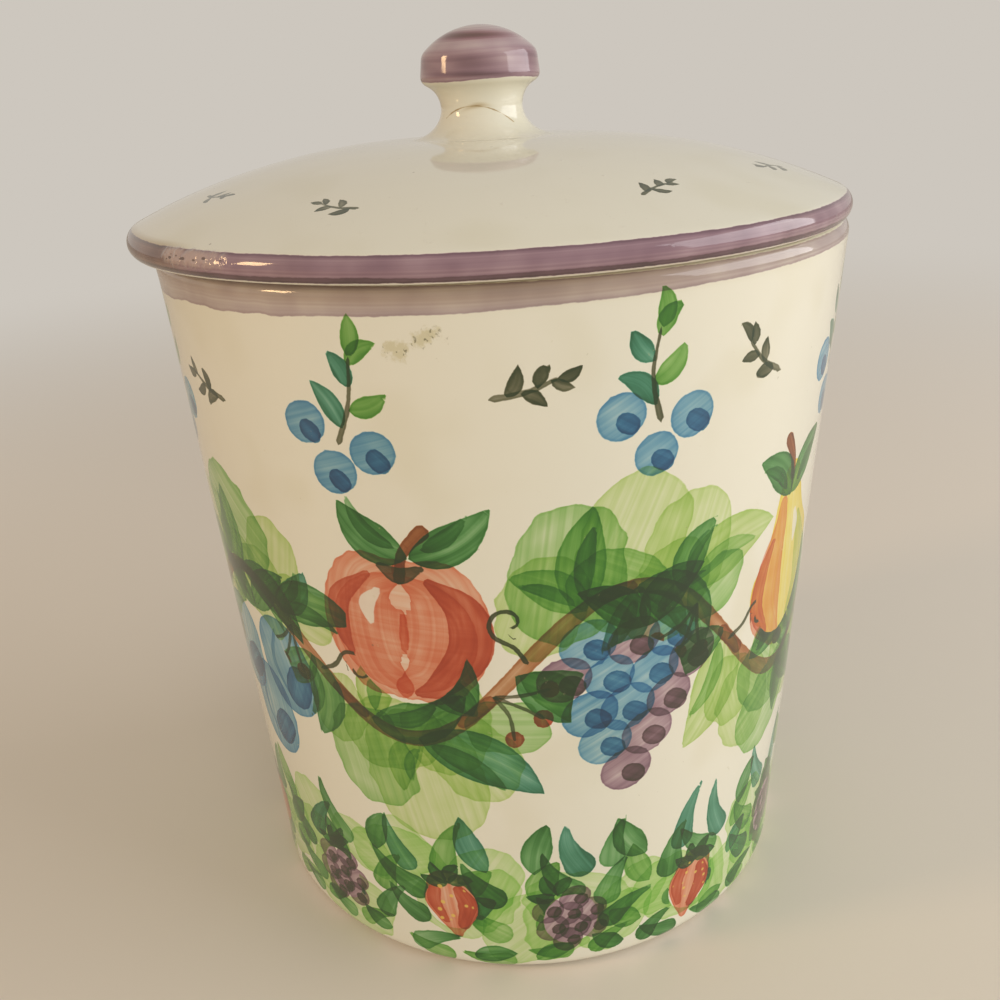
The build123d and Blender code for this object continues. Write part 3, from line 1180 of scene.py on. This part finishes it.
@dataclass
class Jar(Pottery):
    """The tapering jar, with its band, garland and border."""

    name: str = "painted_jar"
    node: str = "jar"
    body: str = "jar"
    material_slot: str = "jar_glaze"
    glaze: Glaze = Glaze("painted_jar_glaze", (Flaw.SEEDS, Flaw.SCUFF))
    seed: int = 11
    height: float = 200.8
    top_radius: float = 96.9
    base_radius: float = 84.9
    wall: float = 5.2
    floor: float = 6.0
    foot_rounding: float = 5.0
    lip_outer_share: float = 0.62
    lip_inner_share: float = 0.3
    floor_rounding: float = 8.0
    band_top: float = 200.2
    band_foot: float = 194.3
    garland_height: float = 102.0
    garland_swing: float = 20.0
    bays: int = 10
    fruit_scale: float = 1.22
    girth: float = 91.0

    def inner_radius(self, height: float) -> float:
        """Return the radius inside the wall at a height."""
        return self.base_radius + (self.top_radius - self.base_radius) * height / self.height - self.wall

    def profile(self) -> Profile:
        """Go round the jar's section.

        Returns:
            The profile, from the middle of its base to the middle of its floor.
        """
        return (
            Profile((0, 0))
            .line(self.base_radius - 12, 0, 9.0)
            .line(self.base_radius, 0, 2.5)
            .line(self.top_radius, self.height, 1.3, self.foot_rounding)
            .line(self.inner_radius(self.height), self.height, 0.7, self.lip_outer_share * self.wall)
            .line(self.inner_radius(self.floor), self.floor, 9.0, self.lip_inner_share * self.wall)
            .line(0, self.floor, 9.0, self.floor_rounding)
        )

    def zero(self) -> float:
        """Count so that distance along the wall is the height above the base."""
        return reached_at(self.outline, self.base_radius + 6, self.height / 2) - self.height / 2

    def give(self, height: Array) -> Array:
        """Keep the flat base and the rim true."""
        return smooth_step(height, 0.5, 12.0) * smooth_step(height, self.height, self.height - 8)

    def paint(self) -> None:
        """Lay the band under the lid, then the garland, the border and the sprigs."""
        self.seeds = np.zeros(len(self.surface.angle))
        for part in (self.band, self.fruit, self.foliage, self.vine, self.leaves, self.border, self.sprigs):
            part()

    def band_edges(self, turn: float) -> Pair:
        """Tell where the mauve band's edges are. The lower one waves, and has run at the left.

        Args:
            turn: An angle in radians.

        Returns:
            Their heights.
        """
        runs = math.exp(-(((math.degrees(turn) + 55) / 30) ** 2)) * ring_noise(turn, 17, 9.0)
        wave = 2.6 * math.sin(turn + 0.05) + 0.35 * ring_noise(turn, 3.1, 4.0)
        return self.band_foot + wave + runs, self.band_top

    def band(self) -> None:
        """Pull the mauve band round under the lid, darker at the back where the brush met its start."""
        self.painting.ring(self.top_radius, self.band_edges, Ink.MAUVE_PALE, 1.2)
        self.painting.join(Ink.MAUVE_PALE, 171.0, 192.5, self.band_top + 4.0)
        # Painted shadow of the lid's rim: the top of the band is darkened just under the lid, most at the
        # front left; part of this is the greyer thin glaze at the lip.
        x, y = self.surface.local(0.0, self.band_top)
        across = smooth_step(y, -6.5, -1.5) * smooth_step(y, 6.0, 2.0)
        self.painting.shade(Ink.UMBER, 0.22 * across * np.exp(-(((x + 15.0) / 70.0) ** 2)))

    def vine_height(self, angle: float) -> float:
        """Return the height of the garland's vine at an angle in degrees."""
        t = math.radians(angle)
        return self.garland_height + self.garland_swing * math.sin(5 * t) + 3.0 * math.sin(3 * t + 1.0)

    def slope(self, angle: float) -> float:
        """Return the vine's direction in degrees at an angle."""
        rise = self.vine_height(angle + 1) - self.vine_height(angle - 1)
        return math.degrees(math.atan2(rise, math.radians(2) * self.girth))

    def in_bays(self) -> list[tuple[int, float, int]]:
        """Return each bay's number, its middle in degrees and which way it opens."""
        return [(k, 360 / self.bays * (k + 0.5), 1 if k % 2 else -1) for k in range(self.bays)]

    def fruit(self) -> None:
        """Lay a fruit with two leaves in each bay of the vine."""
        b = self.brush
        fruits = (Fruit.GRAPES, Fruit.PEAR, Fruit.FIG, Fruit.APPLE, Fruit.PLUMS,
                  Fruit.LEMON, Fruit.FIG, Fruit.PEAR, Fruit.PLUMS, Fruit.APPLE)
        for (k, middle, up), kind in zip(self.in_bays(), fruits):
            tilt = b.slip(12) + (24 if kind is Fruit.LEMON else 0)
            at = self.vine_height(middle) + up * 33.0
            stalk, rise = ((-18, 1), 172) if kind is Fruit.LEMON else ((2, 17), 90)
            leaves = b.leaf(stalk, rise - 52, 19, Ink.LEAF_DARK, 0.9)
            leaves += b.leaf(stalk, rise + 52, 19, Ink.LEAF_DARK, 0.9)
            fruit, leaves = (turned(motif, tilt, self.fruit_scale, k % 3 == 1)
                             for motif in (b.fruit(kind), leaves))
            self.painting.lay(fruit, middle, at, inside=True)
            self.painting.reserve(middle, at - 2.0, 18.0 if kind is Fruit.PLUMS else 16.0, 1.25)
            self.painting.lay(leaves, middle, at, inside=True)

    def foliage(self) -> None:
        """Lay a cloud of broad light-green touches behind each bay, which show through each other."""
        b = self.brush
        inks = (Ink.LEAF_LIGHT, Ink.LEAF_LIGHT, Ink.LEAF_MID)
        cloud = ((-15, 7, 13), (0, 13, 15), (16, 6, 13), (-5, 0, 12),
                 (9, -3, 11), (-24, -4, 10), (25, -6, 9))
        for _, middle, up in self.in_bays():
            for x, y, radius in cloud:
                ink, at = b.random.choice(inks), (x + b.slip(2), -up * (y + b.slip(2)))
                wash = b.dab(at, b.vary(radius, 0.12), ink, 0.55, 0.35, b.between(0, 180), 1.4)
                self.painting.lay([wash], middle, self.vine_height(middle))

    def vine(self) -> None:
        """Run the vine round the jar in overlapping pulls."""
        for angle in np.arange(4.0, 360.0, 22.5):
            points = [(math.radians(turn) * self.girth, self.vine_height(angle + turn) - self.garland_height,
                       2.5 - 0.06 * abs(turn)) for turn in np.linspace(-13.5, 13.5, 10)]
            self.painting.lay([self.brush.shape(points, Ink.RUST, 0.75)], angle, self.garland_height)

    def leaves(self) -> None:
        """Hang pairs of leaves, tendrils and berries along the vine."""
        b = self.brush
        inks = (Ink.LEAF_MID, Ink.LEAF_DARK, Ink.LEAF_LIGHT, Ink.TEAL, Ink.LEAF_DARK)
        for k in range(40):
            angle = 9.0 * k + b.slip(1.4)
            slope, side = self.slope(angle), 1 if k % 2 else -1
            pair: Strokes = []
            for root, turns, lengths, load in ((0, (34, 60), (26, 35), 0.78), (1, (84, 118), (18, 26), 0.7)):
                heading = slope + side * b.between(*turns)
                pair += b.leaf((root, 0), heading, b.between(*lengths), b.random.choice(inks), load)
            self.painting.lay(pair, angle, self.vine_height(angle))
            if k % 4 == 0:
                curl = turned(b.tendril(), slope - side * 60 - 90, 1.0, side < 0)
                self.painting.lay(curl, angle + 2, self.vine_height(angle + 2))
            if k % 4 == 3:
                group = turned(b.berries(), slope - side * 75 - 90)
                self.painting.lay(group, angle + 3.5, self.vine_height(angle + 3.5))

    def border(self) -> None:
        """Fill the foot with strawberries and brambles among close rows of overlapping leaves."""
        b, painting = self.brush, self.painting
        for k in range(14):
            angle, height, tilt = 360 / 14 * (k + 0.35) + b.slip(2), b.between(18, 27), b.slip(25)
            motif = b.strawberry() if k % 2 else b.bramble()
            painting.lay(turned(motif, tilt, 1.2), angle, height, inside=True)
            painting.reserve(angle, height - 0.7, 7.8, 1.2)
            if k % 2:
                x, y = self.surface.local(angle, height - 1.5)
                self.seeds = np.maximum(self.seeds, smooth_step(np.hypot(x / 6.6, y / 9.4), 1.2, 0.8))
        for k in range(66):
            wash = b.dab((0, 0), b.between(8, 12), Ink.LEAF_PALE, 0.65, 0.5, b.between(0, 180), 1.8)
            painting.lay([wash], 5.45 * k + b.slip(2), b.between(9, 40))
        rows = ((46, (34, 40), 20, (14, 20), 4.1, (Ink.LEAF_DARK, Ink.LEAF_MID, Ink.TEAL)),
                (50, (25, 30), 32, (14, 18), 4.2, (Ink.LEAF_MID, Ink.LEAF_DARK, Ink.LEAF_DARK)),
                (50, (13, 20), 48, (12, 17), 4.0, (Ink.LEAF_DARK, Ink.LEAF_MID, Ink.TEAL)),
                (62, (3.5, 8), 72, (10, 14), 3.2, (Ink.LEAF_MID, Ink.LEAF_DARK)))
        for count, heights, lean, lengths, width, inks in rows:
            for k in range(count):
                heading = 90 + (lean if k % 2 else -lean) + b.slip(14)
                length, ink = b.between(*lengths), b.random.choice(inks)
                form = Form.DROP if k % 3 else Form.LEAF
                leaf = b.stroke((0, 0), heading, length, width, ink, 0.08, 0.82, form)
                painting.lay([leaf], 360 / count * k + b.slip(1.4), b.between(*heights))

    def sprigs(self) -> None:
        """Scatter sprigs of bilberries and small dark twigs on the white above the garland."""
        b = self.brush
        for k in range(8):
            angle = 45.0 * k - 24.0
            self.painting.lay(turned(b.bilberries(), b.slip(20)), angle, b.between(163, 168))
            twig = turned(b.twig(), (55 if k % 2 else -55) + b.slip(25), 1.1)
            self.painting.lay(twig, angle + 22, b.between(166, 178))

    def flaws(self) -> None:
        """Mark the scuff below the band, and where strawberries have seeds."""
        x, y = self.surface.local(-11.6, 187.8)
        left = np.exp(-(((x + 3.0) / 4.6) ** 2) - (((y + 1.6) / 3.0) ** 2))
        right = np.exp(-(((x - 2.6) / 5.2) ** 2) - (((y - 0.1 - 0.3 * x) / 2.3) ** 2))
        self.painting.mark("scuffed", np.maximum(left, right))
        self.painting.mark("seeded", self.seeds)

    def dress(self, group: bpy.types.NodeTree) -> None:
        """Paint and glaze the jar, and leave its base bare.

        Args:
            group: The nodes that lay one layer of strokes.
        """
        super().dress(group)
        self.piece.data.materials.append(BareClay().material())
        for face in self.piece.data.polygons:
            if face.center.z < 0.1 * MM and face.normal.z < -0.9:
                face.material_index = 1


@dataclass(kw_only=True)
class Necked(Pottery):
    """What the lid and the knob have in common: the neck, which the potter joined at its seam."""

    body: str = "lid"
    axis: float = -3.0
    dome_level: float = 224.3
    seam: float = 230.1
    waist: float = 232.0
    neck: float = 11.4
    flare: float = 10.0
    seam_radius: float = 11.7

    @property
    def foot(self) -> float:
        """Return the radius at which the neck's flare meets the dome."""
        return self.neck + self.flare

    @property
    def seam_angle(self) -> float:
        """Return the angle between the waist and the seam in the flare's arc, in degrees."""
        return math.degrees(math.asin((self.waist - self.seam) / (self.waist - self.dome_level)))

    def flare_arc(self, profile: Profile, start: float, end: float, pitch: float) -> Profile:
        """Go round part of the flare, between two angles in degrees."""
        radii = (self.flare, self.waist - self.dome_level)
        return profile.arc((self.foot, self.waist), radii, (start, end), pitch)


@dataclass
class Lid(Necked):
    """The domed lid with its rounded rim, its flange and the stub of the neck."""

    name: str = "painted_lid"
    node: str = "lid"
    material_slot: str = "lid_glaze"
    glaze: Glaze = Glaze("painted_lid_glaze", (Flaw.BLISTERS,))
    seed: int = 23
    seat: float = 201.1
    rim_level: float = 207.9
    radius: float = 100.0
    rim_lower: float = 98.2
    rim_upper: float = 97.7
    flange_level: float = 192.1
    flange_radius: float = 87.68
    flange_inner: float = 83.18
    wall: float = 5.0

    def profile(self) -> Profile:
        """Go round the lid's section.

        Returns:
            The profile, from under its middle to the top of its stub.
        """
        reach, rise = self.rim_upper - self.foot, self.dome_level - self.rim_level
        under = self.dome_level - self.wall
        bow = (reach**2 + rise**2) / (2 * rise)
        centre, inner = (self.foot, self.dome_level - bow), bow - self.wall
        inner_end = math.degrees(math.acos((self.flange_inner - self.foot) / inner))
        outer_start = math.degrees(math.acos(reach / bow))
        profile = (
            Profile((0, under))
            .line(self.foot, under, 7.0)
            .arc(centre, (inner, inner), (90, inner_end), 7.0)
            .line(self.flange_inner, self.flange_level, 4.0)
            .line(self.flange_radius, self.flange_level, 2.0, 1.5)
            .line(self.flange_radius, self.seat, 2.5, 1.5)
            .line(self.rim_lower, self.seat, 3.5)
            .arc(*self.rim_arc(), 0.45)
            .arc(centre, (bow, bow), (outer_start, 90), 1.4)
        )
        return self.flare_arc(profile, -90, -180 + self.seam_angle, 0.6).line(0, self.seam, 6.0)

    def rim_arc(self) -> tuple[Pair, Pair, Pair]:
        """Find the arc of the rim, through its three points.

        Returns:
            Its centre, its radii and its angles in degrees.
        """
        low = np.array((self.rim_lower, self.seat))
        far = np.array((self.radius, (self.seat + self.rim_level) / 2))
        top = np.array((self.rim_upper, self.rim_level))
        grid = 2 * np.array([far - low, top - low])
        centre = np.linalg.solve(grid, [far @ far - low @ low, top @ top - low @ low])
        size = float(np.hypot(*(far - centre)))
        start, end = (math.degrees(math.atan2(*(p - centre)[::-1])) for p in (low, top))
        return tuple(centre), (size, size), (start, end)

    def zero(self) -> float:
        """Count from the lower edge of the rim."""
        return reached_at(self.outline, self.rim_lower, self.seat)

    def give(self, height: Array) -> Array:
        """Keep the seat, the flange and the joint with the knob true."""
        rise = smooth_step(height, self.seat + 1, self.seat + 6)
        return rise * smooth_step(height, self.seam, self.dome_level + 0.5)

    def paint(self) -> None:
        """Lay the mauve rim, the fine line at its foot, small twigs on the dome and the hairline."""
        b = self.brush
        for low, high, ink, load in ((0.75, 7.45, Ink.MAUVE, 1.3), (0.9, 2.3, Ink.MAUVE_DEEP, 0.4)):
            self.painting.ring(99.0, lambda turn: (low, high + 0.35 * ring_noise(turn, 4, high)), ink, load)
        self.painting.join(Ink.MAUVE, 186.0, 0.75, 7.3)
        for k in range(8):
            twig = turned(b.twig(), (70 if k % 2 else -70) + b.slip(20), 0.75)
            self.painting.lay(twig, -65 + 45 * k, b.between(22, 34))
        seam = reached_at(self.outline, self.seam_radius, self.seam) - self.zero()
        self.painting.lay(b.crack(), 0.0, seam)

    def flaws(self) -> None:
        """Mark the blistered stretch of the rim, and brown the rim to its left as a painted warm reflection.
        """
        x, y = self.surface.local(-41.5, 5.2)
        chipped = 0.9 * smooth_step(np.abs(x), 21.0, 4.0) * smooth_step(np.abs(y - 0.2), 3.6, 0.8)
        self.painting.mark("chipped", chipped)
        pitted = smooth_step(np.abs(x), 14.0, 9.0) * smooth_step(np.abs(y + 0.1), 1.2, 0.3)
        self.painting.mark("pitted", pitted)
        # Painted warm reflection: the rim browns from the blisters leftwards round to the back.
        browner = smooth_step(x, 2.0, -16.0) * smooth_step(np.abs(y), 5.0, 2.0)
        self.painting.shade(Ink.UMBER, 0.35 * browner)


@dataclass
class Knob(Necked):
    """The mushroom knob with its mauve cap."""

    name: str = "painted_knob"
    node: str = "knob"
    material_slot: str = "knob_glaze"
    glaze: Glaze = Glaze("painted_knob_glaze")
    seed: int = 37
    sectors: int = 192
    cap_radius: float = 16.95
    cap_edge: float = 238.3
    shoulder_radius: float = 16.0
    shoulder: float = 245.8
    top: float = 252.9
    shoulder_rounding: float = 4.0
    edge_rounding: float = 2.2

    def profile(self) -> Profile:
        """Go round the knob's section.

        Returns:
            The profile, from the joint up to the crown.
        """
        start = self.foot - self.flare * math.cos(math.radians(self.seam_angle))
        wide, tall = self.cap_radius - self.neck, self.cap_edge - self.waist
        rise = self.top - self.shoulder
        under = (wide**2 + tall**2) / (2 * wide)
        crown = (self.shoulder_radius**2 + rise**2) / (2 * rise)
        under_end = math.degrees(math.atan2(tall, wide - under))
        crown_start = math.degrees(math.acos(self.shoulder_radius / crown))
        profile = Profile((0, self.seam)).line(start, self.seam, 4.0)
        return (
            self.flare_arc(profile, -180 + self.seam_angle, -180, 0.4)
            .arc((self.neck + under, self.waist), (under, under), (180, under_end), 0.5)
            .line(self.shoulder_radius, self.shoulder, 0.5, self.edge_rounding)
            .arc((0, self.top - crown), (crown, crown), (crown_start, 90), 0.6, self.shoulder_rounding)
        )

    def zero(self) -> float:
        """Count from the joint."""
        return reached_at(self.outline, self.seam_radius, self.seam)

    def give(self, height: Array) -> Array:
        """Keep the joint true."""
        return smooth_step(height, self.waist, self.waist + 5)

    def paint(self) -> None:
        """Lay the mauve round the cap with its darker patches, and the hairline on the neck."""
        along = self.surface.along
        edge = reached_at(self.outline, self.cap_radius, self.cap_edge + 0.3) - self.zero()
        ends = np.array([edge, along.max()])
        self.painting.ring(16.4, lambda turn: ends + 0.3 * math.sin(3 * turn), Ink.MAUVE, 0.82, 72)
        painted = smooth_step(along, edge + 0.3, edge + 1.2)
        patches = ((-18, 13.8, 11.0, 1.7, Ink.WINE, 0.75), (-8, 4.6, 7.5, 2.2, Ink.MAUVE_DEEP, 0.55),
                   (-2, 1.4, 14.0, 0.8, Ink.MAUVE_DEEP, 0.5), (62, 5.0, 7.0, 2.4, Ink.MAUVE_DEEP, 0.4),
                   (-75, 4.6, 8.0, 1.6, Ink.MAUVE_DEEP, 0.35), (130, 7.0, 12.0, 2.0, Ink.MAUVE_DEEP, 0.4),
                   (-150, 12.5, 12.0, 1.6, Ink.WINE, 0.5))
        for turn, rise, wide, tall, ink, load in patches:
            x, y = self.surface.local(turn, edge + rise)
            patch = np.exp(-((x / wide) ** 2) - (((y + 0.05 * x) / tall) ** 2))
            self.painting.shade(ink, load * painted * patch)
        self.painting.lay(self.brush.crack(), 0.0, 0.0)
        x, y = self.surface.local(0.0, 2.5)
        stained = np.exp(-(((x + 1.2) / 2.8) ** 2) - ((y + 0.04 * x * x) / 0.5) ** 2)
        self.painting.shade(Ink.UMBER, 0.42 * stained)


@dataclass(frozen=True)
class Lamp:
    """A soft lamp that faces the pot, by direction and height in degrees, distance and size in metres."""

    name: str
    azimuth: float
    elevation: float
    distance: float
    size: Pair
    power: float
    colour: Colour
    mirrored: bool = True
    aim: float = 0.14

    def hang(self) -> None:
        """Hang the lamp."""
        facing = Euler((math.radians(90.0 - self.elevation), 0.0, math.radians(self.azimuth)))
        out = facing.to_matrix() @ Vector((0.0, 0.0, self.distance))
        data = bpy.data.lights.new(self.name, "AREA")
        data.shape, data.size, data.size_y = "RECTANGLE", *self.size
        data.energy, data.color = self.power, self.colour
        lamp = bpy.data.objects.new(self.name, data)
        lamp.location, lamp.rotation_euler = Vector((0.0, 0.0, self.aim)) + out, facing
        lamp.visible_glossy = self.mirrored
        bpy.context.scene.collection.objects.link(lamp)


@dataclass
class Studio:
    """The plain pale floor, the soft lights and the camera of the photograph.

    The floor fades into the backdrop between two distances in metres.
    """

    backdrop: Colour = (0.61, 0.57, 0.515)
    paint: Colour = (0.76, 0.69, 0.60)
    daylight: Colour = (1.0, 0.95, 0.87)
    daylight_strength: float = 0.42
    floor_size: float = 12.0
    fade: Pair = (0.3, 1.3)
    lamps: tuple[Lamp, ...] = (
        Lamp("lamp_left", -73.0, 22.0, 1.5, (0.25, 0.34), 4.8, (1.0, 0.66, 0.34)),
        Lamp("lamp_right", 84.0, 20.0, 1.5, (1.5, 1.0), 13.8, (0.97, 0.98, 1.0)),
        Lamp("lamp_front", 15.0, 14.0, 1.9, (1.2, 1.0), 10.9, (1.0, 0.95, 0.865), mirrored=False),
    )
    eye: Triple = (0.0, -0.30323, 0.23797)
    yaw: float = -0.0241420677
    pitch: float = 0.3956611335
    roll: float = -0.0578607340
    lens: float = 1.0113945
    shift: Pair = (0.0105755, 0.0058530)
    sensor: float = 36.0
    clip: Pair = (0.02, 40.0)

    def floor(self) -> None:
        """Lay the floor, which far from the pot shows as the backdrop."""
        deselect_all()
        bpy.ops.mesh.primitive_plane_add(size=self.floor_size)
        floor = bpy.context.object
        floor.name = "floor"
        made = bpy.data.materials.new("floor_paint")
        sheet = Sheet(blank_nodes(made))
        feeds = {"Base Color": (*self.paint, 1.0), "Roughness": 0.5, "Specular IOR Level": 0.4}
        shader = sheet.node("ShaderNodeBsdfPrincipled", feeds).outputs[0]
        reach = sheet.node("ShaderNodeVectorMath", {0: sheet.place}, operation="LENGTH").outputs["Value"]
        seen = sheet.node("ShaderNodeLightPath").outputs["Is Camera Ray"]
        far = sheet.times(sheet.step(reach, *self.fade), seen)
        pale = sheet.node("ShaderNodeEmission", {0: (*self.backdrop, 1.0), 1: 1.0}).outputs[0]
        sheet.end("Material", sheet.node("ShaderNodeMixShader", {0: far, 1: shader, 2: pale}))
        floor.data.materials.append(made)

    def world(self) -> None:
        """Make the surroundings: plain soft light, and a pale ground for the eye and for reflections."""
        world = bpy.context.scene.world = bpy.data.worlds.new("studio")
        sheet = Sheet(blank_nodes(world))
        seen = sheet.node("ShaderNodeLightPath").outputs
        lights = ((self.backdrop, 1.0), (self.daylight, self.daylight_strength))
        pale, soft = (sheet.node("ShaderNodeBackground", {0: (*colour, 1.0), 1: strength}).outputs[0]
                      for colour, strength in lights)
        shown = sheet.math("ADD", seen["Is Glossy Ray"], seen["Is Transmission Ray"])
        shown = sheet.math("ADD", shown, seen["Is Camera Ray"], clamp=True)
        sheet.end("World", sheet.node("ShaderNodeMixShader", {0: shown, 1: soft, 2: pale}))

    def camera(self) -> None:
        """Stand the camera where the photograph was taken from."""
        data = bpy.data.cameras.new("camera")
        data.sensor_width, data.lens = self.sensor, self.sensor * self.lens
        data.shift_x, data.shift_y = self.shift
        data.clip_start, data.clip_end = self.clip
        camera = bpy.data.objects.new("camera", data)
        camera.matrix_world = Matrix.Translation(self.eye)
        for turn, axis in ((-self.yaw, "Z"), (math.pi / 2 - self.pitch, "X"), (self.roll, "Z")):
            camera.matrix_world @= Matrix.Rotation(turn, 4, axis)
        bpy.context.scene.collection.objects.link(camera)
        bpy.context.scene.camera = camera

    def build(self) -> None:
        """Set up everything round the pot."""
        bpy.context.scene.view_settings.view_transform = "Standard"
        self.floor()
        self.world()
        for lamp in self.lamps:
            lamp.hang()
        self.camera()


def main() -> None:
    """Build and dress the canister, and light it."""
    logging.basicConfig(level=logging.INFO, format="%(message)s")
    Studio().build()
    group = brush_group()
    for pottery in (Jar(), Lid(), Knob()):
        pottery.build()
        pottery.dress(group)


if __name__ == "__main__":
    main()
